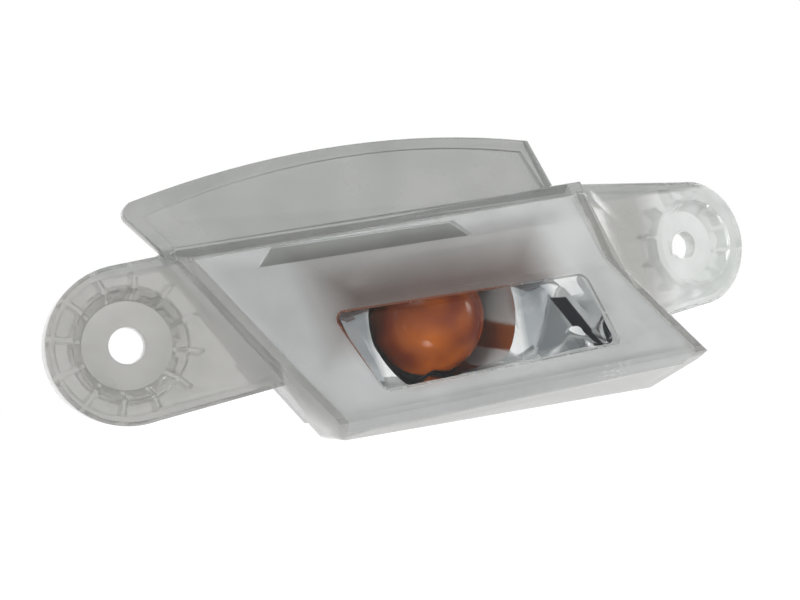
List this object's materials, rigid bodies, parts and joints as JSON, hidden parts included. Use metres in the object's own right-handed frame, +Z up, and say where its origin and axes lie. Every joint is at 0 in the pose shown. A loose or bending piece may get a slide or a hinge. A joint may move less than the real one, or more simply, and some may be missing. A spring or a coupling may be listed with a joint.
{
  "type": "vehicle indicator lamp",
  "caption": "Side indicator lamp with a clear wedge-nosed lens, lipped top band, dished screw ears, chrome reflector, amber bulb and quarter-turn bulb holder.",
  "frame": {"origin": "midway between the two screw holes of the ears, on the plane that the ears' rear rims bolt against", "axes": "X along the lamp from the left ear to the right ear, Y back into the vehicle (the lens faces -Y), Z up"},
  "size_m": [0.166, 0.0748, 0.0628],
  "materials": {
    "clear_lens": "clear moulded plastic, frosted around the window",
    "housing_plastic": "pale grey moulded plastic",
    "reflector_chrome": "vacuum-metallised plastic",
    "vent_membrane": "thin porous membrane",
    "amber_glass": "amber-coated glass",
    "support_wire": "nickel-plated wire",
    "filament_wire": "tungsten coil",
    "cap_brass": "nickel-washed brass",
    "insulator_glass": "black fused insulator",
    "solder_button": "solder",
    "holder_plastic": "black moulded plastic",
    "contact_brass": "sprung brass strip",
    "seal_rubber": "soft rubber"
  },
  "bodies": {
    "lamp": {"outer_lens": "clear_lens", "rear_housing": "housing_plastic", "reflector": "reflector_chrome", "vent_patch": "vent_membrane"},
    "holder": {"bulb_holder": "holder_plastic", "centre_contact": "contact_brass", "side_contact": "contact_brass", "holder_seal": "seal_rubber", "bulb_glass": "amber_glass", "bulb_supports": "support_wire", "bulb_filament": "filament_wire", "bulb_cap": "cap_brass", "bulb_insulator": "insulator_glass", "bulb_button": "solder_button"}
  },
  "joints": [
    {"name": "holder_turn", "type": "hinge", "parent": "lamp", "child": "holder", "pos_m": [-0.0026, 0.0187, -0.006], "axis": [0, 1, 0], "range_deg": [0, 45]}
  ]
}
